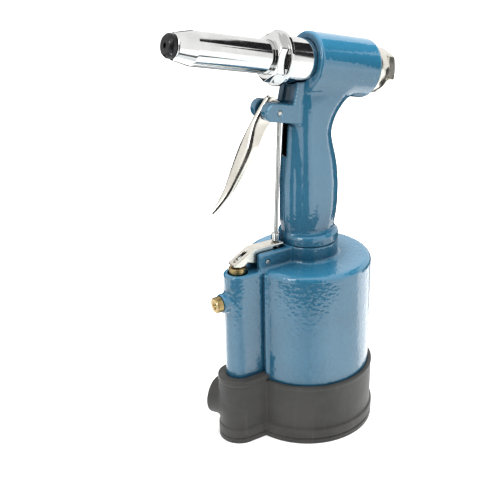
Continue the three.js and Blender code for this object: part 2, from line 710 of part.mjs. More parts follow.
add('hydraulic_piston', hydraulicPiston(), 'steel');
add('hydraulic_seal', onHead(torus(13.1, 0.85, 9)), 'rubber');
add('jaw_case', jawCase(), 'steel');
add('jaw_pusher', jawPusher(), 'steel');
add('jaw_spring', onHead(spring(3.1, 0.55, -49.8, -14.6, 7)), 'steel');
['jaw_a', 'jaw_b', 'jaw_c'].forEach((name, i) => add(name, jaw(120 * i), 'steel'));

export default group;
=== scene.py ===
"""Looks of the hand riveter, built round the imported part: castings, boot and metal fittings."""
import json
import math

import bpy
import numpy as np
from mathutils import Matrix, Vector

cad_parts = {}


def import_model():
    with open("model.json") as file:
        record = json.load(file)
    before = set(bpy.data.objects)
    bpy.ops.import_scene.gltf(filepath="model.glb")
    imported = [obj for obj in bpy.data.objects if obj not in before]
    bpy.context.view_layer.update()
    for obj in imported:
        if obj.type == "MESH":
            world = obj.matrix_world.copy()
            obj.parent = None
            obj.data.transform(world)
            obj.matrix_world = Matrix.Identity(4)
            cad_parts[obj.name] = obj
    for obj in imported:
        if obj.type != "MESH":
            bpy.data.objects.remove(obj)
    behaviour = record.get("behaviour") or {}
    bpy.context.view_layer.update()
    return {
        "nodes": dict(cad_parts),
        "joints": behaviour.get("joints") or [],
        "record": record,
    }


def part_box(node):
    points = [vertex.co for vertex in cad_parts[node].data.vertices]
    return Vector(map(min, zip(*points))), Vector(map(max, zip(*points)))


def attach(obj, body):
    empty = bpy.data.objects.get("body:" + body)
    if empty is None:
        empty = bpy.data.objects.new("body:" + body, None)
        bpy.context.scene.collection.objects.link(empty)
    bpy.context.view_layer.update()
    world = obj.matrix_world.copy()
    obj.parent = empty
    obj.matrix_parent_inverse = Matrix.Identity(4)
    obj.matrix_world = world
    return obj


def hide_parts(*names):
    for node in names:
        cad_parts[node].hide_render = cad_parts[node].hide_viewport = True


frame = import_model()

MM = 0.001

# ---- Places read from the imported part, in millimetres ---------------------------------


def low(node):
    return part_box(node)[0] / MM


def high(node):
    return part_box(node)[1] / MM


def centre(node):
    return (low(node) + high(node)) / 2


SEAL_S = 9.0  # station of the piston seal on the head axis
AXIS = next(Vector(j["axis"]) for j in frame["joints"] if j["name"] == "pull_stroke").normalized()
HEAD = centre("hydraulic_seal") - SEAL_S * AXIS
TILT_COS = AXIS.x
TILT_SIN = -AXIS.z

CYL_R = high("cylinder_housing").x
CYL_BOTTOM = low("cylinder_housing").z
BOSS_TOP = high("cylinder_housing").z
BOOT_R = high("rubber_boot").x
BOOT_LOBE_TOP = high("rubber_boot").z
VALVE_X = centre("valve_bottom_plug").x
TRIGGER_PIVOT = centre("trigger_pin")
LINK_PIVOT = centre("trigger_link_pin")
ROCKER_PIVOT = centre("rocker_pin")
ROD_BOTTOM = Vector((-26.7, 0, low("pull_rod").z))
NOSE_TIP_R = 5.9
NOSE_FRONT = (low("nosepiece").x - HEAD.x + NOSE_TIP_R * TILT_SIN) / TILT_COS

# ---- Shape of the castings ------------------------------------------------------------
CYL_TOP = 123.7
CYL_EDGE = 4.0
BORE_R = 39.4
ROOF_UNDER = 114.5
BOSS_R = 20.2
VALVE_R = 9.4
VALVE_TOP = 123.5
WEB_HALF = 9.4
BEAD_X, BEAD_Y, BEAD_R = -41.5, 11.9, 1.7  # bead along each side of the web
RELIEF_Z = centre("relief_plug").z
INLET_Z = centre("inlet_bush").z
INLET_TURN = math.radians(60)  # from -X towards +Y

FLANGE_BOTTOM = BOSS_TOP + 0.3
FLANGE_TOP = 142.5
HEAD_R = 19.1
HEAD_FRONT = -4.7
HEAD_REAR = 44.5
HEAD_BORE_R = 14.0
ADAPTER_R = 14.1
SLEEVE_R = 10.3
EAR_INNER = 3.4
EAR_OUTER = 9.2
EAR_R = 6.0
EAR_H = -32.0  # height of the ears' centre line over the head axis
SPIGOT_R = 13.6  # below the flange, through the cylinder's roof
OIL_BORE_R = 7.4
RAM_BORE_R = 10.0
BRACKET_HALF = 8.2
ROCKER_SLOT_HALF = 4.6
COLLAR_R = 12.8  # boot's collar round the air inlet
LOBE_R = 13.6  # boot's lobe round the valve column
BOOT_PLAY = 0.12
PIN_HOLE_R = 1.54
PIN_TURN_R = 1.56
LINK_HOLE_R = 1.22

# grip: height, front reach, back reach, half width
GRIP = [
    (139.5, -15.6, 16.4, 14.1), (145.5, -15.8, 17.6, 14.3), (152, -16, 19.1, 14.7),
    (161, -16, 20, 14.9), (172, -16, 20.2, 14.9), (184, -15.9, 19.2, 14.6),
    (192, -15.7, 17.6, 14.3), (199, -15.5, 15.6, 13.9), (207, -15.4, 13.7, 13.6),
    (213, -15.6, 14.6, 13.8), (219, -15.8, 17.2, 14.1), (224, -16, 21, 14.4),
    (229, -16.2, 26.6, 14.6), (234, -16.4, 32.5, 14.4), (240, -16.4, 36, 13.4),
]
# front ridge of the grip: height, front reach, half width
RIDGE = [
    (136.3, -20, 8.6), (143, -20, 8.6), (152, -21.3, 8.6), (178, -21.3, 8.6), (196, -20.2, 8.4),
    (217, -19, 8),
]
RIDGE_TOP = 217.2
RIDGE_DEPTH = 24
OVAL_POWER = 2.35

FINE = 1.0  # grid step factor of the sampled shapes


# ---- Distance fields: negative inside, in millimetres ---------------------------------
def join(a, b, soft):
    """Union with a fillet about soft wide."""
    h = np.clip(0.5 + 0.5 * (b - a) / soft, 0, 1)
    return b * (1 - h) + a * h - soft * h * (1 - h)


def cut(a, b, soft=0.3):
    """a without b, with the edge of the cut softened."""
    return -join(-a, b, soft)


def corner(a, b, radius):
    """Intersection whose outer edge is rounded."""
    u, v = a + radius, b + radius
    outer = np.hypot(np.maximum(u, 0), np.maximum(v, 0))
    return outer + np.minimum(np.maximum(u, v), 0) - radius


def slab(t, start, end):
    return np.abs(t - (start + end) / 2) - abs(end - start) / 2


def drum(reach, t, radius, start, end, edge):
    """Round bar: reach is the distance from its axis, t the station along it."""
    return corner(reach - radius, slab(t, start, end), edge)


def bar(u, v, u0, u1, v0, v1, edge):
    """Rectangle in the plane of u and v with rounded corners."""
    return corner(slab(u, u0, u1), slab(v, v0, v1), edge)


def rod_distance(u, v, a, b):
    """Distance to the segment a to b in the plane of u and v."""
    du, dv = b[0] - a[0], b[1] - a[1]
    t = np.clip(((u - a[0]) * du + (v - a[1]) * dv) / (du * du + dv * dv), 0, 1)
    return np.hypot(u - a[0] - t * du, v - a[1] - t * dv)


def polygon(u, v, points):
    """Distance to a closed outline in the plane of u and v."""
    best = np.full(np.broadcast(u, v).shape, 1e9)
    sign = np.ones(best.shape)
    for k, (ax, ay) in enumerate(points):
        bx, by = points[k - 1]
        ex, ey = bx - ax, by - ay
        wx, wy = u - ax, v - ay
        t = np.clip((wx * ex + wy * ey) / (ex * ex + ey * ey), 0, 1)
        best = np.minimum(best, (wx - ex * t) ** 2 + (wy - ey * t) ** 2)
        above, under = v >= ay, v < by
        left = ex * wy > ey * wx
        flip = (above & under & left) | (~above & ~under & ~left)
        sign = np.where(flip, -sign, sign)
    return sign * np.sqrt(best)


def bezier(*controls, steps=10):
    """Points on a Bezier curve of any order, without its first point."""
    points = []
    for k in range(1, steps + 1):
        t = k / steps
        row = [np.array(c, float) for c in controls]
        while len(row) > 1:
            row = [a * (1 - t) + b * t for a, b in zip(row, row[1:])]
        points.append(tuple(row[0]))
    return points


def eased(levels, column, window=11.0):
    """Reader of one column of a table of levels, rounded over so that no kink shows."""
    heights = [row[0] for row in levels]
    step = 0.25
    dense = np.arange(heights[0] - window, heights[-1] + window, step)
    raw = np.interp(dense, heights, [row[column] for row in levels])
    kernel = np.hanning(int(window / step))
    padded = np.pad(raw, len(kernel), mode="edge")
    smooth = np.convolve(padded, kernel / kernel.sum(), mode="same")[len(kernel):-len(kernel)]
    return lambda z: np.interp(z, dense, smooth)


def oval(x, y, front, back, half):
    """Distance to a superellipse section."""
    a, b = (back - front) / 2, half
    u = np.abs(x - (front + back) / 2) / a
    v = np.abs(y) / b
    g = np.maximum((u ** OVAL_POWER + v ** OVAL_POWER) ** (1 / OVAL_POWER), 0.05)
    steep = np.hypot((u / g) ** (OVAL_POWER - 1) / a, (v / g) ** (OVAL_POWER - 1) / b)
    return (g - 1) / np.maximum(steep, 1e-3)


def head_frame(x, z):
    """Station along the head axis and height over it."""
    dx, dz = x - HEAD.x, z - HEAD.z
    return dx * TILT_COS - dz * TILT_SIN, dx * TILT_SIN + dz * TILT_COS


def inlet_frame(x, y, z):
    """Station along the air inlet and distance from its axis."""
    dx, dz = x - VALVE_X, z - INLET_Z
    t = -dx * math.cos(INLET_TURN) + y * math.sin(INLET_TURN)
    side = dx * math.sin(INLET_TURN) + y * math.cos(INLET_TURN)
    return t, np.hypot(side, dz)


# ---- The castings and the boot --------------------------------------------------------
grip_front, grip_back, grip_half = (eased(GRIP, k) for k in (1, 2, 3))
ridge_front, ridge_half = (eased(RIDGE, k, 7.0) for k in (1, 2))


def handle_field(x, y, z):
    s, h = head_frame(x, z)
    around = np.hypot(y, h)
    reach = np.hypot(x, y)
    side = np.abs(y)
    grip = oval(x, y, grip_front(z), grip_back(z), grip_half(z))
    grip = np.maximum(grip, slab(z, FLANGE_BOTTOM + 1, 246))
    front = ridge_front(z)
    ridge = oval(x, y, front, front + RIDGE_DEPTH, ridge_half(z))
    ridge = corner(ridge, slab(z, FLANGE_BOTTOM + 1, RIDGE_TOP), 1.6)
    flange = drum(reach, z, BOSS_R, FLANGE_BOTTOM, FLANGE_TOP, 2.7)
    flange = np.minimum(flange, drum(reach, z, BOSS_R, FLANGE_BOTTOM, FLANGE_TOP - 2.8, 0.7))
    ear = rod_distance(s, h, (-27.1, EAR_H), (-2, EAR_H)) - EAR_R
    web = bar(s, h, -13.6, 6, -34, -12, 1)
    body = join(grip, ridge, 1.9)
    body = join(body, flange, 2.2)
    body = join(body, corner(np.minimum(ear, web), side - EAR_OUTER, 1.0), 2.2)
    body = cut(body, drum(around, s, ADAPTER_R + 0.5, -70, HEAD_FRONT - 0.05, 0.1), 0.5)
    barrel = drum(around, s, HEAD_R, HEAD_FRONT, HEAD_REAR, 2.1)
    body = join(body, barrel, 4.5)
    body = np.minimum(body, drum(reach, z, SPIGOT_R, 106.5, 140, 0.6))

    body = cut(body, drum(around, s, HEAD_BORE_R, -5.5, 60, 0.1), 0.6)
    body = cut(body, drum(reach, z, OIL_BORE_R, 100, 244, 0.2))
    body = cut(body, drum(reach, z, RAM_BORE_R, 100, 124, 0.2))
    slot = np.maximum(np.maximum(s + 12.4, side - EAR_INNER), h + 15.5)
    body = cut(body, slot, 0.5)
    recess = corner(bar(x, z, -26, -14.4, 196, 224, 2.4), side - 2.7, 0.3)
    body = cut(body, recess, 0.5)
    pin = np.hypot(x - TRIGGER_PIVOT.x, z - TRIGGER_PIVOT.z) - PIN_HOLE_R
    return cut(body, pin, 0.3)


def bracket_outline():
    points = [(-10, 118), (-40, 118)]
    points += bezier((-40, 118), (-44.6, 121), (-44.4, 128), steps=6)
    points += [(-44.2, BOSS_TOP - 2)]
    points += bezier((-44.2, BOSS_TOP - 2), (-44, BOSS_TOP - 0.3), (-42.2, BOSS_TOP - 0.2), steps=4)
    return points + [(-10, BOSS_TOP - 0.2)]


def housing_field(x, y, z):
    reach = np.hypot(x, y)
    column_reach = np.hypot(x - VALVE_X, y)
    side = np.abs(y)
    can = corner(reach - CYL_R, z - CYL_TOP, CYL_EDGE)
    boss = corner(reach - BOSS_R, z - BOSS_TOP, 0.8)
    column = corner(column_reach - VALVE_R, z - VALVE_TOP, 1.6)
    web = corner(slab(x, VALVE_X, -30), side - WEB_HALF, 0.5)
    web = corner(web, z - VALVE_TOP, 1.6)
    bead = np.hypot(x - BEAD_X, side - BEAD_Y) - BEAD_R
    bead = corner(bead, z - CYL_TOP + 1.6, 1)
    bracket = corner(polygon(x, z, bracket_outline()), side - BRACKET_HALF, 0.9)
    relief = drum(np.hypot(y, z - RELIEF_Z), VALVE_X - x, 6.4, 0, 13.5, 0.9)
    t, inlet_reach = inlet_frame(x, y, z)
    body = join(can, boss, 3.0)
    body = join(body, np.minimum(column, web), 0.6)
    body = join(body, bead, 0.5)
    body = join(body, bracket, 2.4)
    body = join(body, relief, 1.8)
    body = np.minimum(body, drum(inlet_reach, t, 10.4, 0, 18, 0.4))
    body = corner(body, CYL_BOTTOM - z, 0.4)

    slot = corner(slab(x, -60, -21.2), side - ROCKER_SLOT_HALF, 0.2)
    slot = np.maximum(slot, CYL_TOP - z)
    body = cut(body, slot, 0.5)
    body = cut(body, drum(reach, z, BORE_R, -20, ROOF_UNDER, 0.5))
    body = cut(body, drum(reach, z, 41.1, 4.3, 5.9, 0.1), 0.1)
    body = cut(body, reach - 13.7)
    body = cut(body, np.maximum(column_reach - 6.4, 103.8 - z), 0.5)
    body = cut(body, np.maximum(column_reach - 6.6, 112.4 - z), 0.5)
    body = cut(body, column_reach - 5.05)
    body = cut(body, np.maximum(inlet_reach - 8.05, 8 - t))
    body = cut(body, np.maximum(inlet_reach - 3, -t))
    body = cut(body, np.maximum(np.hypot(y, z - RELIEF_Z) - 3.5, x - VALVE_X + 6))
    pin = np.hypot(x - ROCKER_PIVOT.x, z - ROCKER_PIVOT.z) - PIN_HOLE_R
    return cut(body, pin)


def boot_slice(reach, lobe_reach, x, side, z, main, lobe, z0, z1, edge):
    """Outline of the boot between two heights: the main circle with the lobe's flat sides."""
    sides = corner(slab(x, VALVE_X - 1, -30), side - lobe, 0.3)
    plan = join(np.minimum(lobe_reach - lobe, sides), reach - main, 0.9)
    return corner(plan, slab(z, z0, z1), edge)


def boot_field(x, y, z):
    reach = np.hypot(x, y)
    side = np.abs(y)
    lobe_reach = np.hypot(x - VALVE_X + 1, y)
    plan = (reach, lobe_reach, x, side, z)
    body = boot_slice(*plan, BOOT_R - 1.3, LOBE_R, 9, 44, 0.8)
    body = join(body, boot_slice(*plan, BOOT_R, 14.4, 4.6, 11.3, 0.7), 0.5)
    body = join(body, boot_slice(*plan, BOOT_R - 0.9, LOBE_R, 2, 7, 0.3), 0.3)
    body = join(body, boot_slice(*plan, BOOT_R - 0.15, 14.3, 0, 3.8, 0.6), 0.4)
    upper = corner(slab(x, VALVE_X - 1, -41.8), side - LOBE_R, 0.3)
    upper = np.minimum(lobe_reach - LOBE_R, upper)
    upper = corner(upper, slab(z, 30, BOOT_LOBE_TOP), 0.8)
    lip = corner(upper - 0.6, slab(z, BOOT_LOBE_TOP - 4.2, BOOT_LOBE_TOP - 0.3), 0.7)
    body = join(body, join(upper, lip, 0.4), 0.5)
    main_lip = corner(reach - BOOT_R + 1.0, slab(z, 41.6, 43.9), 0.5)
    body = join(body, main_lip, 0.4)
    t, inlet_reach = inlet_frame(x, y, z)
    body = join(body, drum(inlet_reach, t, COLLAR_R, 4, 20, 1.2), 2.5)

    column_reach = np.hypot(x - VALVE_X, y)
    inner = np.minimum(reach - CYL_R, column_reach - VALVE_R) - BOOT_PLAY
    web = corner(slab(x, VALVE_X, -30), side - WEB_HALF - BOOT_PLAY, 0.3)
    bead = np.hypot(x - BEAD_X, side - BEAD_Y) - BEAD_R - BOOT_PLAY
    inner = np.maximum(np.minimum(np.minimum(inner, web), bead), 3 - z)
    body = cut(body, inner, 0.5)
    return cut(body, np.maximum(inlet_reach - 10.5, -t), 0.5)


# ---- Pressed and wire parts -----------------------------------------------------------
TRIGGER_FRONT = [(-33.2, 235.6)] + bezier((-33.2, 235.6), (-41.5, 226), (-45.9, 217.2), steps=8)
TRIGGER_FRONT += bezier((-45.9, 217.2), (-52, 204.5), (-57.5, 193.5), (-62.2, 183.8), steps=10)
TRIGGER_FRONT += bezier((-62.2, 183.8), (-66, 176.6), (-75.2, 168.2), steps=8)
TRIGGER_BACK = [(-74.2, 167)] + bezier((-74.2, 167), (-66.4, 172.8), (-61.2, 178.6), steps=6)
TRIGGER_BACK += bezier((-61.2, 178.6), (-54.2, 187.5), (-46, 203), (-38.6, 212.8), steps=10)
TRIGGER_BACK += bezier((-38.6, 212.8), (-33, 220.4), (-27, 222.2), steps=6) + [(-21.6, 223.6)]
TRIGGER_BACK += bezier((-21.6, 223.6), (-19.4, 226.6), (-21.6, 229.8), steps=6)
TRIGGER_BACK += [(-29.5, 236.2)]
TRIGGER_HOLLOW = [(-31.4, 240), (-31.9, 235)]
TRIGGER_HOLLOW += bezier((-31.9, 235), (-40.4, 225.4), (-44.7, 216.6), steps=8)
TRIGGER_HOLLOW += bezier((-44.7, 216.6), (-50.8, 203.9), (-56.3, 192.9), (-61, 183.2), steps=10)
TRIGGER_HOLLOW += bezier((-61, 183.2), (-62.9, 179.6), (-66, 175.6), steps=5)
TRIGGER_HOLLOW += [(-60, 165), (-10, 215), (-10, 240)]
# leaf shape of the trigger from the front: height, half width
TRIGGER_LEAF = [
    (160, 1.9), (168, 2.0), (172, 2.4), (177, 3.4), (185, 4.6), (192, 5.6), (200, 6.4),
    (207, 6.4), (216, 4.2), (219, 3.3), (223, 2.9), (242, 2.9),
]
LINK_PIN_HALF = 2.9
CROWN_R = 14.0  # radius of the trigger's front face across its width
SHEET = 0.9
leaf_half = eased(TRIGGER_LEAF, 1, 7.0)


def trigger_field(x, y, z):
    side = np.abs(y)
    half = leaf_half(z)
    crown = side ** 2 / (2 * CROWN_R)
    ahead = TRIGGER_FRONT + [(-60, 150), (0, 150), (0, 250), (-28, 242)]
    bend = corner(polygon(x, z, ahead) + crown, side - half, 3.0)
    body = np.maximum(bend, corner(polygon(x, z, TRIGGER_FRONT + TRIGGER_BACK),
                                   side - half, 0.25))
    hollow = corner(polygon(x, z, TRIGGER_HOLLOW) + crown, side - half + SHEET, 2.2)
    body = cut(body, hollow, 0.2)
    for pivot, radius in ((TRIGGER_PIVOT, PIN_TURN_R), (LINK_PIVOT, LINK_HOLE_R)):
        body = cut(body, np.hypot(x - pivot.x, z - pivot.z) - radius, 0.1)
    return body


ROCKER_SIDE = [
    (-22.6, 138), (-45.4, 138.4), (-47.2, 137.8), (-60.6, 130.2), (-60.8, 129), (-58.6, 128.3),
    (-56, 127.8), (-53, 128), (-50.4, 130), (-44, 127.8), (-40.4, 126.3), (-37.9, 125.7),
    (-35.4, 126.8), (-32, 131.4), (-30.6, 136.2), (-22.6, 136.6),
]
ROCKER_HOLLOW = [
    (-22, 136.7), (-30.6, 136.7), (-45, 137.2), (-46.6, 136.6), (-59.2, 129.5), (-59.4, 120),
    (-22, 120),
]
ROCKER_HALF = 4.1
PLATE = 1.2


def rocker_field(x, y, z):
    side = np.abs(y)
    body = corner(polygon(x, z, ROCKER_SIDE), side - ROCKER_HALF, 0.55)
    hollow = corner(polygon(x, z, ROCKER_HOLLOW), side - ROCKER_HALF + PLATE, 0.3)
    body = cut(body, hollow, 0.25)
    body = cut(body, np.hypot(x - ROCKER_PIVOT.x, z - ROCKER_PIVOT.z) - PIN_TURN_R, 0.1)
    body = cut(body, corner(-28.4 - x, side - 1.8, 0.5), 0.2)
    arm = rod_distance(x, y, (-57.6, 0), (-50.5, 0)) - 1.4
    body = cut(body, np.maximum(arm, slab(z, 126, 142)), 0.3)
    roller = drum(np.hypot(x - VALVE_X, z - 129.6), y, 1.9, -ROCKER_HALF, ROCKER_HALF, 0.3)
    return np.minimum(body, roller)


ROD_VECTOR = LINK_PIVOT - ROD_BOTTOM
ROD_LENGTH = ROD_VECTOR.length
ROD_AXIS = ROD_VECTOR.normalized()
ROD_R = 1.3


def rod_frame(x, z):
    """Station along the pull rod and offset across it."""
    dx, dz = x - ROD_BOTTOM.x, z - ROD_BOTTOM.z
    return dx * ROD_AXIS.x + dz * ROD_AXIS.z, dx * ROD_AXIS.z - dz * ROD_AXIS.x


def rod_eye_field(x, y, z):
    t, across = rod_frame(x, z)
    wire = drum(np.hypot(across, y), t, ROD_R, 0, ROD_LENGTH - 2.2, 0.3)
    eye = rod_distance(across, t, (-1.2, ROD_LENGTH - 0.3), (1.2, ROD_LENGTH - 0.3)) - 2.35
    eye = np.minimum(eye, bar(across, t, -3.1, 3.1, ROD_LENGTH - 3.3, ROD_LENGTH + 2.8, 1.6))
    body = join(wire, corner(eye, np.abs(y) - 1.6, 0.45), 1.2)
    slot = rod_distance(across, t, (-0.8, ROD_LENGTH), (0.8, ROD_LENGTH)) - 1.45
    return cut(body, slot, 0.25)


# ---- Mesh building --------------------------------------------------------------------
def sampled(field, lowest, highest, step):
    """Skin of a distance field: one point in each crossed cell, moved onto the zero level."""
    axes = [np.arange(a, b + step, step) for a, b in zip(lowest, highest)]
    grid = np.meshgrid(*axes, indexing="ij", sparse=True)
    value = np.broadcast_to(field(*grid), [len(a) for a in axes])
    inside = value < 0
    cells = np.array(value.shape) - 1
    points, corners, faces = [], [], []
    for axis in range(3):
        near = tuple(slice(0, -1) if k == axis else slice(None) for k in range(3))
        far = tuple(slice(1, None) if k == axis else slice(None) for k in range(3))
        crossed = inside[near] != inside[far]
        index = np.argwhere(crossed)
        a, b = value[near][crossed], value[far][crossed]
        point = index.astype(float)
        point[:, axis] += a / (a - b)
        u, v = (axis + 1) % 3, (axis + 2) % 3
        loop = []
        for du, dv in ((1, 1), (0, 1), (0, 0), (1, 0)):
            cell = index.copy()
            cell[:, u] -= du
            cell[:, v] -= dv
            loop.append(np.ravel_multi_index(cell.T, cells))
        face = np.stack(loop, 1)
        face[a >= 0] = face[a >= 0][:, ::-1]
        points.append(np.repeat(point, 4, axis=0))
        corners.append(np.stack(loop, 1).ravel())
        faces.append(face)
    used, place = np.unique(np.concatenate(corners), return_inverse=True)
    points = np.concatenate(points)
    count = np.bincount(place)
    mean = np.stack([np.bincount(place, weights=points[:, k]) / count for k in range(3)], 1)
    verts = np.array(lowest) + step * mean
    faces = np.searchsorted(used, np.concatenate(faces))
    return settled(field, verts, step), faces


def settled(field, verts, step):
    """Moves points onto the zero level along the slope of the field."""
    reach = 0.2 * step
    for _ in range(3):
        slope = np.empty_like(verts)
        for k in range(3):
            shift = np.zeros(3)
            shift[k] = reach
            ahead = field(*(verts + shift).T)
            behind = field(*(verts - shift).T)
            slope[:, k] = (ahead - behind) / (2 * reach)
        steep = np.maximum((slope ** 2).sum(1), 0.05)
        move = (field(*verts.T) / steep)[:, None] * slope
        size = np.linalg.norm(move, axis=1)[:, None]
        verts = verts - move * np.minimum(1, 0.5 * step / np.maximum(size, 1e-9))
    return verts


def build(name, verts, faces):
    mesh = bpy.data.meshes.new(name)
    mesh.from_pydata((np.asarray(verts) * MM).tolist(), [], [list(f) for f in faces])
    mesh.polygons.foreach_set("use_smooth", np.ones(len(mesh.polygons), bool))
    mesh.update()
    piece = bpy.data.objects.new(name, mesh)
    bpy.context.scene.collection.objects.link(piece)
    return piece


def softened(profile, radius, steps=5):
    """Profile with its corners rounded: rows of (radius, station) or (radius, station, own edge)."""
    out = []
    count = len(profile)
    closed = profile[0][0] > 0
    for k, row in enumerate(profile):
        p = np.array(row[:2], float)
        if not closed and k in (0, count - 1):
            out.append(p)
            continue
        edge = row[2] if len(row) > 2 else radius
        a = np.array(profile[k - 1][:2], float) - p
        b = np.array(profile[(k + 1) % count][:2], float) - p
        la, lb = np.hypot(*a), np.hypot(*b)
        reach = min(edge, 0.45 * la, 0.45 * lb)
        start, end = p + a / la * reach, p + b / lb * reach
        for i in range(steps + 1):
            t = i / steps
            out.append(start * (1 - t) ** 2 + p * 2 * t * (1 - t) + end * t * t)
    return out, closed


def turned(name, profile, place, radius=0.25, segments=112, trim=None):
    """Turned piece about a local Z axis; trim may pull points in to make flats."""
    rows, closed = softened(profile, radius)
    theta = np.arange(segments) / segments * 2 * math.pi
    verts, faces, rings = [], [], []
    for r, t in rows:
        if r < 1e-6:
            rings.append([len(verts)])
            verts.append((0, 0, t))
            continue
        reach = np.full(segments, r) if trim is None else trim(theta, r, t)
        rings.append(list(range(len(verts), len(verts) + segments)))
        verts += list(zip(reach * np.cos(theta), reach * np.sin(theta), np.full(segments, t)))
    pairs = list(zip(rings, rings[1:])) + ([(rings[-1], rings[0])] if closed else [])
    for a, b in pairs:
        for i in range(segments):
            j = (i + 1) % segments
            if len(a) == 1:
                faces.append((a[0], b[j], b[i]))
            elif len(b) == 1:
                faces.append((a[i], a[j], b[0]))
            else:
                faces.append((a[i], a[j], b[j], b[i]))
    points = np.array([place @ Vector(v) for v in verts])
    piece = build(name, points, faces)
    face_out(piece)
    weigh(piece)
    return piece


def face_out(piece):
    """Turns the faces so that the closed mesh has a positive volume."""
    mesh = piece.data
    volume = 0.0
    for poly in mesh.polygons:
        corners = [mesh.vertices[i].co for i in poly.vertices]
        for b, c in zip(corners[1:], corners[2:]):
            volume += corners[0].dot(b.cross(c))
    if volume < 0:
        mesh.flip_normals()


def weigh(piece):
    """Keeps flats looking flat next to rounded edges."""
    piece.modifiers.new("weighted", "WEIGHTED_NORMAL").keep_sharp = True


def hexagon(across, start, end, soft=0.3, first=0.0):
    """Trim that makes six flats between two stations; first is the angle of a flat's centre."""
    sixth = math.pi / 3

    def trim(theta, r, t):
        if not start <= t <= end:
            return np.full(len(theta), r)
        turn = (theta - first + sixth / 2) % sixth - sixth / 2
        flat = across / 2 / np.cos(turn)
        return np.maximum(join(flat, np.full(len(theta), r), soft), 0.1)

    return trim


def hex_corner(flats):
    """Radius of the corners of a hexagon, from its width across flats."""
    return flats / 2 / math.cos(math.pi / 6)


def frame_matrix(origin, x_axis, z_axis):
    x = Vector(x_axis).normalized()
    z = Vector(z_axis).normalized()
    y = z.cross(x)
    matrix = Matrix((x, y, z)).transposed().to_4x4()
    matrix.translation = Vector(origin)
    return matrix


ON_HEAD = frame_matrix(HEAD, (-TILT_SIN, 0, -TILT_COS), AXIS)
ON_VALVE = frame_matrix((VALVE_X, 0, 0), (1, 0, 0), (0, 0, 1))
ON_RELIEF = frame_matrix((VALVE_X, 0, RELIEF_Z), (0, 0, 1), (-1, 0, 0))
ON_INLET = frame_matrix((VALVE_X, 0, INLET_Z), (0, 0, 1),
                        (-math.cos(INLET_TURN), math.sin(INLET_TURN), 0))
ON_ROD = frame_matrix(ROD_BOTTOM, (ROD_AXIS.z, 0, -ROD_AXIS.x), ROD_AXIS)


def crosswise(point):
    """Placing of a pin that lies along Y."""
    return frame_matrix((point.x, 0, point.z), (1, 0, 0), (0, 1, 0))


def adopt(piece, node, slot):
    """The piece stands for the CAD node: same body, same finish."""
    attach(piece, BODY_OF[node])
    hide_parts(node)
    piece.data.materials.append(MATERIALS[slot])


BODY_OF = {n: b for b, nodes in frame["record"]["behaviour"]["bodies"].items() for n in nodes}


# ---- Materials ------------------------------------------------------------------------
class Paint:
    """A node material being put together; positions are the rest positions in metres."""

    def __init__(self, name):
        self.material = bpy.data.materials.new(name)
        self.material.use_nodes = True
        self.tree = self.material.node_tree
        self.surface = self.tree.nodes["Principled BSDF"]
        self.place = self.node("TexCoord").outputs["Object"]
        self.bump = None

    def node(self, kind, settings=None, **inputs):
        made = self.tree.nodes.new("ShaderNode" + kind)
        for key, value in (settings or {}).items():
            setattr(made, key, value)
        self.feed(made, **inputs)
        return made

    def feed(self, node, **inputs):
        for key, value in inputs.items():
            names = [key.replace("_", " "), key]
            socket = next(node.inputs[n] for n in names if n in node.inputs)
            if isinstance(value, bpy.types.NodeSocket):
                self.tree.links.new(value, socket)
            else:
                socket.default_value = value

    def noise(self, grains_per_metre, detail=2.0, stretch=(1, 1, 1), rough=0.5):
        moved = self.node("Mapping", Vector=self.place, Scale=stretch).outputs[0]
        return self.node("TexNoise", Vector=moved, Scale=grains_per_metre, Detail=detail,
                         Roughness=rough).outputs["Fac"]

    def spread(self, value, a, b, low, high):
        """Maps a to low and b to high, smoothly, and holds both ends."""
        made = self.node("MapRange", {"interpolation_type": "SMOOTHSTEP"})
        made.inputs["Value"].default_value = 0.5
        self.tree.links.new(value, made.inputs["Value"])
        for key, number in (("From Min", a), ("From Max", b), ("To Min", low), ("To Max", high)):
            made.inputs[key].default_value = number
        return made.outputs["Result"]

    def blend(self, factor, a, b, how="MIX"):
        made = self.node("Mix", {"data_type": "RGBA", "blend_type": how})
        sockets = (("Factor_Float", factor), ("A_Color", a), ("B_Color", b))
        for identifier, value in sockets:
            socket = next(i for i in made.inputs if i.identifier == identifier)
            if isinstance(value, bpy.types.NodeSocket):
                self.tree.links.new(value, socket)
            else:
                socket.default_value = (*value, 1) if isinstance(value, tuple) else value
        return next(o for o in made.outputs if o.identifier == "Result_Color")

    def relief(self, height, depth_mm, strength=1.0):
        """Adds a layer of bump; depth is the height of the full range of the texture."""
        made = self.node("Bump", Height=height, Distance=depth_mm * MM, Strength=strength)
        if self.bump is not None:
            self.tree.links.new(self.bump, made.inputs["Normal"])
        self.bump = made.outputs["Normal"]

    def edges(self, start, end):
        """Rises from 0 to 1 on sharp outer edges of the mesh."""
        return self.spread(self.node("NewGeometry").outputs["Pointiness"], start, end, 0, 1)

    def finish(self, colour, **inputs):
        self.feed(self.surface, Base_Color=colour, **inputs)
        if self.bump is not None:
            self.tree.links.new(self.bump, self.surface.inputs["Normal"])
            coat = self.surface.inputs["Coat Normal"]
            self.tree.links.new(self.bump, coat)
        return self.material


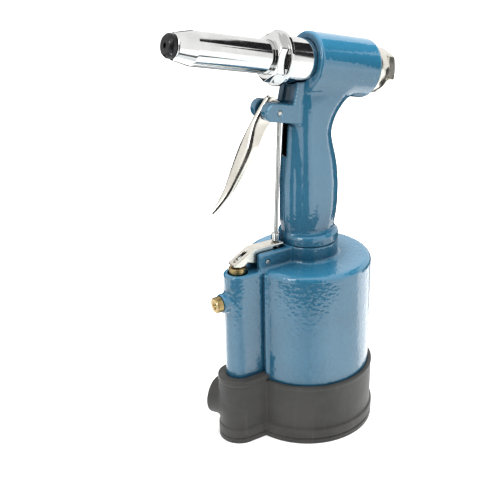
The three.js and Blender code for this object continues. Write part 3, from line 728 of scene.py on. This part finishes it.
def enamel():
    """Thick glossy stoving enamel over a casting, with orange peel."""
    p = Paint("enamel_blue")
    drift = p.spread(p.noise(28, 3), 0.3, 0.7, 0, 1)
    colour = p.blend(drift, (0.017, 0.118, 0.205), (0.026, 0.142, 0.240))
    fine = p.noise(2600, 2)
    colour = p.blend(p.spread(fine, 0.35, 0.75, 0, 0.25), colour, (0.035, 0.17, 0.28))
    points = p.node("NewGeometry").outputs["Pointiness"]
    # painted highlight: lighter blue on sharp convex edges
    colour = p.blend(p.spread(points, 0.53, 0.60, 0, 0.7), colour, (0.13, 0.31, 0.43))
    # painted shade: darker blue in concave creases
    colour = p.blend(p.spread(points, 0.47, 0.42, 0, 0.75), colour, (0.010, 0.06, 0.115))
    # painted shade: darker colour and less coat where the surface is occluded
    hollow = p.node("AmbientOcclusion", {"samples": 6}, Distance=0.04).outputs["AO"]
    colour = p.blend(p.spread(hollow, 0.35, 0.95, 0.8, 0), colour, (0.005, 0.028, 0.058))
    coat = p.spread(hollow, 0.45, 0.95, 0.1, 1)
    height = p.node("SeparateXYZ", Vector=p.place).outputs["Z"]
    peel = p.spread(height, 0.135, 0.15, 1, 0.4)
    p.relief(p.noise(70, 1), 0.16, peel)
    p.relief(p.noise(430, 1.2, rough=0.4), 0.22, peel)
    p.relief(p.noise(1500, 1), 0.006)
    gloss = p.spread(p.noise(160, 2), 0.3, 0.7, 0.22, 0.34)
    return p.finish(colour, Roughness=gloss, Coat_Weight=coat, Coat_Roughness=0.05,
                    Coat_IOR=1.8, Specular_IOR_Level=0.12)


def boot_rubber():
    """Moulded black rubber with a fine grain, handling marks and lighter outer edges."""
    p = Paint("boot_rubber")
    colour = p.blend(p.spread(p.noise(45, 4), 0.3, 0.7, 0, 1), (0.024, 0.023, 0.021),
                     (0.040, 0.0385, 0.035))
    streaks = p.spread(p.noise(160, 3, (1, 1, 0.12)), 0.55, 0.75, 0, 0.2)
    colour = p.blend(streaks, colour, (0.09, 0.088, 0.082))
    colour = p.blend(p.edges(0.53, 0.62), colour, (0.14, 0.14, 0.132))
    grain = p.noise(1900, 3)
    p.relief(p.noise(120, 2), 0.10)
    p.relief(grain, 0.028)
    rough = p.spread(grain, 0.3, 0.7, 0.46, 0.66)
    return p.finish(colour, Roughness=rough, Specular_IOR_Level=0.42, Sheen_Weight=0.12)


def seal_rubber():
    p = Paint("seal_rubber")
    colour = p.blend(p.noise(900, 3), (0.02, 0.02, 0.02), (0.045, 0.045, 0.043))
    p.relief(p.noise(3000, 2), 0.01)
    return p.finish(colour, Roughness=p.spread(p.noise(700, 2), 0.3, 0.7, 0.4, 0.6))


def metal(name, dark, light, rough, grain, stretch=(1, 1, 1), scratch=0.0015, wear=None):
    """Bare or plated metal: tone drift, grain along one direction, polished or worn edges."""
    p = Paint(name)
    colour = p.blend(p.spread(p.noise(60, 3), 0.3, 0.7, 0, 1), dark, light)
    lines = p.noise(grain, 4, stretch)
    colour = p.blend(p.spread(lines, 0.3, 0.75, 0, 0.4), colour, light)
    if wear is not None:
        rubbed = p.node("Math", {"operation": "MULTIPLY"})
        p.tree.links.new(p.edges(0.52, 0.60), rubbed.inputs[0])
        p.tree.links.new(p.spread(p.noise(500, 3), 0.35, 0.6, 0.2, 1), rubbed.inputs[1])
        colour = p.blend(rubbed.outputs[0], colour, wear)
    p.relief(lines, scratch)
    p.relief(p.noise(140, 2), scratch * 3)
    smudge = p.spread(p.noise(110, 4), 0.35, 0.7, rough[0], rough[1])
    return p.finish(colour, Roughness=smudge, Metallic=1.0)


MATERIALS = {
    "enamel": enamel(),
    "boot_rubber": boot_rubber(),
    "seal_rubber": seal_rubber(),
    "alloy": metal("alloy", (0.50, 0.51, 0.52), (0.66, 0.67, 0.68), (0.3, 0.45), 1200, (1, 1, 6)),
    "chrome_plate": metal("chrome_plate", (0.62, 0.62, 0.61), (0.78, 0.78, 0.77), (0.05, 0.11),
                          900, (0.2, 4, 4), 0.0006),
    "nickel_plate": metal("nickel_plate", (0.60, 0.57, 0.50), (0.76, 0.73, 0.66), (0.14, 0.26),
                          1100, (1, 5, 1), 0.002, wear=(0.92, 0.9, 0.86)),
    "black_oxide": metal("black_oxide", (0.018, 0.018, 0.019), (0.045, 0.045, 0.046),
                         (0.26, 0.42), 1500, (1, 1, 1), 0.004, wear=(0.32, 0.32, 0.32)),
    "brass": metal("brass", (0.30, 0.21, 0.085), (0.50, 0.37, 0.17), (0.2, 0.36), 1600,
                   (1, 1, 1), 0.003, wear=(0.85, 0.72, 0.45)),
    "steel": metal("steel", (0.34, 0.335, 0.32), (0.54, 0.53, 0.50), (0.16, 0.3), 1300,
                   (1, 4, 1), 0.002, wear=(0.8, 0.8, 0.8)),
}


# ---- The visible pieces ---------------------------------------------------------------
def add_sampled(name, node, slot, field, step, margin=2.0):
    edge = Vector((margin, margin, margin))
    verts, faces = sampled(field, low(node) - edge, high(node) + edge, step * FINE)
    piece = build(name, verts, faces)
    adopt(piece, node, slot)
    return piece


def add_turned(name, node, slot, profile, place, **options):
    adopt(turned(name, profile, place, **options), node, slot)


def paint_shade_inside(piece, test):
    """Paints the faces whose centres pass the test with the dark black-oxide finish: painted shade.
    """
    mesh = piece.data
    mesh.materials.append(MATERIALS["black_oxide"])
    spots = np.empty(3 * len(mesh.polygons))
    mesh.polygons.foreach_get("center", spots)
    inside = test(*(spots.reshape(-1, 3).T / MM))
    mesh.polygons.foreach_set("material_index", inside.astype(np.int32))


def in_rod_recess(x, y, z):
    return (np.abs(y) < 2.9) & (x > -20.6) & (x < -13) & (z > 195.5) & (z < 224.5)


def in_rocker_hollow(x, y, z):
    return (np.abs(y) < ROCKER_HALF - PLATE - 0.05) & (polygon(x, z, ROCKER_HOLLOW) < 0.15)


def castings():
    add_sampled("housing_casting", "cylinder_housing", "enamel", housing_field, 0.62)
    handle = add_sampled("handle_casting", "handle_head", "enamel", handle_field, 0.5)
    # painted shade: the faces of the rod recess in the grip are painted dark
    paint_shade_inside(handle, in_rod_recess)
    add_sampled("boot_moulding", "rubber_boot", "boot_rubber", boot_field, 0.62)


def add_pin(name, node, place, radius, half, edge, segments):
    rows = [(0, -half), (radius, -half, edge), (radius, half, edge), (0, half)]
    add_turned(name, node, "steel", rows, place, segments=segments)


def linkage():
    add_sampled("trigger_pressing", "trigger", "nickel_plate", trigger_field, 0.32, 1.2)
    rocker = add_sampled("rocker_pressing", "rocker_lever", "nickel_plate", rocker_field, 0.26, 1)
    # painted shade: the inside of the rocker's channel is painted dark
    paint_shade_inside(rocker, in_rocker_hollow)
    add_sampled("pull_rod_wire", "pull_rod", "steel", rod_eye_field, 0.28, 1)
    add_pin("trigger_pin_turned", "trigger_pin", crosswise(TRIGGER_PIVOT), 1.5, 9.7, 0.7, 40)
    add_pin("rocker_pin_turned", "rocker_pin", crosswise(ROCKER_PIVOT), 1.5, 8.7, 0.7, 40)
    add_pin("link_pin_turned", "trigger_link_pin", crosswise(LINK_PIVOT), 1.2, LINK_PIN_HALF, 0.3,
            32)
    collar = [(1.36, 6.9), (2.4, 6.9), (2.9, 7.4), (2.9, 11.7), (2.4, 12.2), (1.36, 12.2)]
    add_turned("rod_collar_turned", "rod_collar", "chrome_plate", collar, ON_ROD, segments=48)
    nut = [(1.36, 0.3), (2.6, 0.3, 0.1), (3.3, 0.75, 0.2), (3.3, 2.95, 0.2), (2.6, 3.4, 0.1),
           (1.36, 3.4)]
    add_turned("rod_nut_turned", "rod_nut", "steel", nut, ON_ROD, radius=0.1, segments=96,
               trim=hexagon(5.6, -1, 9, 0.12))


def nose():
    cone_end = -85.6
    front = NOSE_FRONT
    sleeve = [
        (5.7, front + 4.8, 0.2), (7.4, front + 4.8, 0.3), (7.95, front + 5.4, 0.5),
        (SLEEVE_R, cone_end, 0.5), (SLEEVE_R, -12.5, 0.3), (8.85, -12.5, 0.2), (8.85, -90, 0.2),
        (5.7, -90, 0.2),
    ]
    add_turned("nose_sleeve_turned", "nose_sleeve", "chrome_plate", sleeve, ON_HEAD, segments=144)
    tip = [
        (1.6, front, 0.15), (5.6, front, 0.5), (7.2, front + 2, 0.6), (7.2, front + 4.5, 0.25),
        (5.5, front + 4.5, 0.1), (5.5, front + 13.4, 0.3), (3.2, front + 13.4, 0.2),
        (2.6, front + 20, 0.2), (1.6, front + 20, 0.2),
    ]
    add_turned("nosepiece_turned", "nosepiece", "black_oxide", tip, ON_HEAD, segments=96)


def sleeve_nut():
    start, rear, flats = -33.2, -23.8, 26.4
    hex_r = hex_corner(flats)
    chamfer, turned_off = 1.4, 2.3
    rows = [(SLEEVE_R + 0.1, start, 0.2), (hex_r - turned_off, start, 0.4)]
    for k in range(1, 9):
        t = k / 8
        rows.append((hex_r - turned_off * (1 - t), start + chamfer * t ** 1.3, 0.05))
    rows += [(hex_r, rear - 2.6, 0.1), (hex_r, rear - 2.5, 0.1), (17, rear - 2.5, 0.5),
             (17, rear, 0.35), (SLEEVE_R + 0.1, rear, 0.2)]
    add_turned("sleeve_nut_turned", "sleeve_nut", "chrome_plate", rows, ON_HEAD, segments=240,
               trim=hexagon(flats, start - 1, rear - 2.55, 0.35, math.radians(30)))


def head_fittings():
    rear = HEAD_FRONT - 0.3
    adapter = [
        (8.25, 1.4), (8.25, -12.2, 0.1), (SLEEVE_R + 0.1, -12.2, 0.1), (SLEEVE_R + 0.1, -23.5, 0.2),
        (ADAPTER_R, -23.5, 0.9), (ADAPTER_R, rear, 0.2), (13.9, rear, 0.05), (13.9, 1.4, 0.3),
    ]
    add_turned("front_adapter_turned", "front_adapter", "chrome_plate", adapter, ON_HEAD,
               segments=144)
    hex_start, hex_end, chamfer, flats = 54.9, 60.6, 1.1, 26
    hex_r = hex_corner(flats)
    rows = [
        (0, hex_start), (10, hex_start, 0.5), (10, 37, 0.3), (13.9, 37, 0.3), (13.9, 39.4, 0.05),
        (12.3, 39.4, 0.1), (12.3, 42, 0.1), (13.9, 42, 0.05), (13.9, HEAD_REAR + 0.3, 0.05),
        (16.5, HEAD_REAR + 0.3, 0.3), (16.5, 47, 1.2), (15.4, 51.4, 2), (13.8, 54.8, 0.4),
        (13.8, hex_start + 0.05, 0.03),
        (hex_r, hex_start + 0.1, 0.03),
        (hex_r, hex_end - chamfer - 1, 0.05),
    ]
    for k in range(9):
        t = k / 8
        rows.append((hex_r - 2.4 * t, hex_end - chamfer * (1 - t) ** 1.2, 0.05))
    rows += [(8.2, hex_end, 0.4), (7.6, hex_end - 0.8, 0.4), (0, hex_end - 0.8)]
    add_turned("rear_cap_turned", "rear_cap", "nickel_plate", rows, ON_HEAD, segments=240,
               trim=hexagon(flats, hex_start, 70, 0.3, math.radians(16)))


def valve_fittings():
    button = [
        (0, 66), (1.4, 66, 0.2), (1.4, 72, 0.1), (3.62, 72, 0.2), (3.62, 75, 0.1), (2.35, 75, 0.1),
        (2.35, 76.8, 0.1), (3.62, 76.8, 0.1), (3.62, 80, 0.3), (2.5, 80, 0.2), (2.5, 116.4, 0.2),
        (5.8, 116.4, 0.5), (5.8, 127.3, 0.9), (0, 127.3),
    ]
    add_turned("valve_button_turned", "valve_button", "brass", button, ON_VALVE, segments=80)
    plug = [
        (1.1, 7.1, 0.1), (3.4, 7.1, 0.2), (3.4, 13.7, 0.1), (5.3, 13.7, 0.4), (5.3, 18, 0.9),
        (2.3, 18, 0.5), (1.1, 16.6, 0.2),
    ]
    add_turned("relief_plug_turned", "relief_plug", "brass", plug, ON_RELIEF, segments=80)
    flats = 17
    hex_r = hex_corner(flats)
    bush = [
        (3, 8.2, 0.2), (8, 8.2, 0.4), (8, 18.2, 0.1), (hex_r, 18.2, 0.1), (hex_r, 20.8, 0.2),
        (hex_r - 0.5, 21.2, 0.1), (hex_r - 1.3, 21.6, 0.2), (5.7, 21.6, 0.5), (5.7, 9.5, 0.3),
        (3, 9.5, 0.2),
    ]
    add_turned("inlet_bush_turned", "inlet_bush", "steel", bush, ON_INLET, segments=180,
               trim=hexagon(flats, 18.3, 30, 0.2))


castings()
linkage()
nose()
sleeve_nut()
head_fittings()
valve_fittings()


# ---- Pieces inside the tool keep their CAD shape --------------------------------------
def inner_pieces():
    """Gives the carried-over pieces their finish and lightly broken edges."""
    slots = {row["node"]: row["material_slot"] for row in frame["record"]["subparts"]}
    for node, piece in frame["nodes"].items():
        if piece.hide_render:
            continue
        piece.data.materials.clear()
        piece.data.materials.append(MATERIALS[slots[node]])
        soft = piece.modifiers.new("soft_edges", "BEVEL")
        soft.width = 0.12 * MM
        soft.segments = 2
        soft.angle_limit = math.radians(40)


inner_pieces()


# ---- Studio ---------------------------------------------------------------------------
VIEW_AZIMUTH = -34.17
VIEW_ELEVATION = 22.52
VIEW_ROLL = -0.1
VIEW_DISTANCE = 0.6
VIEW_TARGET = Vector((0, 0, 0.14))
VIEW_OFFSET = (-0.01585, 0.00003)
VIEW_LENS = 66.73
VIEW_SHIFT = (-0.0929, -0.0217)
WORLD_SEEN = 1.12  # strength to the camera and in reflections
WORLD_LIGHT = 0.32  # strength as a light on matt surfaces
LIGHT_AIM = (0, 0, 0.13)


def sheet(name, corners, material):
    """Flat card of the studio; it isn't part of the tool."""
    mesh = bpy.data.meshes.new(name)
    mesh.from_pydata(corners, [], [tuple(range(len(corners)))])
    mesh.materials.append(material)
    piece = bpy.data.objects.new(name, mesh)
    bpy.context.scene.collection.objects.link(piece)
    return piece


def glow(name, colour, strength):
    material = bpy.data.materials.new(name)
    material.use_nodes = True
    nodes, links = material.node_tree.nodes, material.node_tree.links
    nodes.clear()
    lamp = nodes.new("ShaderNodeEmission")
    lamp.inputs["Color"].default_value = (*colour, 1)
    lamp.inputs["Strength"].default_value = strength
    out = nodes.new("ShaderNodeOutputMaterial")
    links.new(lamp.outputs[0], out.inputs["Surface"])
    return material


def reflected_only(piece):
    """A card that shows only in reflections."""
    for ray in ("camera", "diffuse", "shadow", "transmission", "volume_scatter"):
        setattr(piece, "visible_" + ray, False)


def floor():
    """Pale floor that stays white towards the horizon."""
    half = 6.0
    corners = [(-half, -half, 0), (half, -half, 0), (half, half, 0), (-half, half, 0)]
    p = Paint("floor_pale")
    shade = p.blend(p.noise(12, 2), (0.66, 0.66, 0.66), (0.64, 0.64, 0.64))
    reach = p.node("VectorMath", {"operation": "LENGTH"}, Vector=p.place).outputs["Value"]
    lift = p.spread(reach, 0.02, 0.5, 0.5, 0.95)
    matt = p.node("LightPath").outputs["Is Diffuse Ray"]
    dim = p.spread(matt, 0, 1, 1, 0.1)
    glow_level = p.node("Math", {"operation": "MULTIPLY"})
    p.tree.links.new(lift, glow_level.inputs[0])
    p.tree.links.new(dim, glow_level.inputs[1])
    p.feed(p.surface, Emission_Color=(1, 1, 1, 1), Emission_Strength=glow_level.outputs[0])
    sheet("floor", corners, p.finish(shade, Roughness=0.6, Specular_IOR_Level=0.2))


def bearing(azimuth, elevation=0.0):
    a, e = math.radians(azimuth), math.radians(elevation)
    return Vector((math.cos(a) * math.cos(e), math.sin(a) * math.cos(e), math.sin(e)))


def floor_card(name, outline, strength, tone=(0.93, 0.98, 1), height=1.0):
    """Card on the floor, for reflections only; outline is (towards the camera, to its right)."""
    toward = bearing(VIEW_AZIMUTH - 90)
    beside = bearing(VIEW_AZIMUTH)
    corners = [toward * a + beside * b + Vector((0, 0, height * MM)) for a, b in outline]
    reflected_only(sheet(name, corners, glow(name, tone, strength)))


def ring_sector(first, last, near, far, steps=6):
    """Outline on the floor between two angles from the camera's side and two distances."""
    turns = [math.radians(first + (last - first) * k / steps) for k in range(steps + 1)]
    inner = [(near * math.cos(a), near * math.sin(a)) for a in turns]
    return inner + [(far * math.cos(a), far * math.sin(a)) for a in reversed(turns)]


def flag(name, directions, reach=1.2, shade=0.02):
    """Card in the air, given by the directions of its corners, for reflections only."""
    corners = [Vector((0, 0, 0.25)) + bearing(*d) * reach for d in directions]
    reflected_only(sheet(name, corners, glow(name, (shade, shade, shade * 1.1), 1.0)))


def cap_flag():
    """Small dark flag that only the rear cap's near flat reflects."""
    hub = Vector((0.196, -0.153, 0.273))
    side, up = Vector((0.021, 0.021, 0)), Vector((0, 0, 0.03))
    corners = [hub - side - up, hub + side - up, hub + side + up, hub - side + up]
    reflected_only(sheet("cap_flag", corners, glow("cap_flag", (0.02, 0.02, 0.02), 1.0)))


# angle on the floor from the camera's side, and how bright the floor mirrors there
FLOOR_GLOW = ((-95, -35, 0, 35, 95), (1.6, 1.6, 1.0, 1.8, 1.35))


def cards():
    """Bright cards and dark flags that the shiny surfaces reflect."""
    toward = VIEW_AZIMUTH - 90
    for k in range(19):
        start = -95 + 10 * k
        strength = float(np.interp(start + 5, *FLOOR_GLOW))
        floor_card(f"floor_card_{k}", ring_sector(start, start + 10, 0.1, 1.3, 1), strength)
    edge = [(0.16, -0.3), (0.235, -0.08), (0.24, 0.08), (0.175, 0.29), (0.25, 0.33), (0.36, 0.1),
            (1.2, 0.24), (1.2, -0.3), (0.36, -0.12), (0.25, -0.33)]
    floor_card("front_floor", edge, 0.1, height=2.0)
    floor_card("left_back_floor", ring_sector(-180, -97, 0.3, 3.0), 0.04, height=2.0)
    floor_card("right_back_floor", ring_sector(105, 180, 0.3, 3.0), 0.05, height=2.0)
    floor_card("back_floor", ring_sector(140, 220, 0.1, 0.3), 0.6, height=2.0)
    flag("side_flag", ((-40, 30), (19, 30), (19, 46), (-40, 46)))
    flag("low_flag", ((-48, 8), (-22, 8), (-22, 30), (-48, 30)))
    flag("view_flag", ((toward - 26, -11), (toward + 26, -11), (toward + 26, 54),
                       (toward - 26, 54)))
    flag("far_flag", ((64, -11), (112, -11), (112, 24), (64, 24)))
    cap_flag()


def soft_light(name, place, size, power):
    """Area light aimed at the middle of the tool."""
    data = bpy.data.lights.new(name, "AREA")
    data.shape = "RECTANGLE"
    data.size, data.size_y = size
    data.energy = power
    lamp = bpy.data.objects.new(name, data)
    lamp.location = place
    lamp.rotation_euler = (Vector(LIGHT_AIM) - Vector(place)).to_track_quat("-Z", "Y").to_euler()
    bpy.context.scene.collection.objects.link(lamp)
    return lamp


def world():
    """White to the camera and in reflections, dimmer as a light on matt surfaces."""
    scene = bpy.context.scene
    scene.world = bpy.data.worlds.new("studio")
    scene.world.use_nodes = True
    tree = scene.world.node_tree
    light = tree.nodes["Background"]
    path = tree.nodes.new("ShaderNodeLightPath")
    mix = tree.nodes.new("ShaderNodeMix")
    mix.data_type = "FLOAT"
    tree.links.new(path.outputs["Is Diffuse Ray"], mix.inputs[0])
    mix.inputs[2].default_value = WORLD_SEEN
    mix.inputs[3].default_value = WORLD_LIGHT
    tree.links.new(mix.outputs[0], light.inputs["Strength"])
    light.inputs["Color"].default_value = (1, 1, 1, 1)


def camera():
    a, e = math.radians(VIEW_AZIMUTH), math.radians(VIEW_ELEVATION)
    back = Vector((math.sin(a) * math.cos(e), -math.cos(a) * math.cos(e), math.sin(e)))
    right = Vector((math.cos(a), math.sin(a), 0))
    up = back.cross(right)
    data = bpy.data.cameras.new("photo_view")
    data.lens = VIEW_LENS
    data.shift_x, data.shift_y = VIEW_SHIFT
    data.clip_start = 0.01
    view = bpy.data.objects.new("photo_view", data)
    turn = Matrix((right, up, back)).transposed().to_4x4()
    view.matrix_world = (Matrix.Translation(VIEW_TARGET + back * VIEW_DISTANCE
                                            + right * VIEW_OFFSET[0] + up * VIEW_OFFSET[1])
                         @ turn @ Matrix.Rotation(math.radians(VIEW_ROLL), 4, "Z"))
    bpy.context.scene.collection.objects.link(view)
    bpy.context.scene.camera = view


floor()
cards()
world()
soft_light("key", (-0.9, -0.5, 1.1), (0.7, 0.7), 7)
fill = soft_light("fill", (1.1, -0.3, 0.6), (0.5, 0.9), 3)
overhead = soft_light("overhead", (0.1, 0.1, 1.5), (1.2, 1.2), 52)
fill.visible_glossy = False
overhead.visible_glossy = False
camera()
bpy.context.scene.view_settings.view_transform = "Standard"
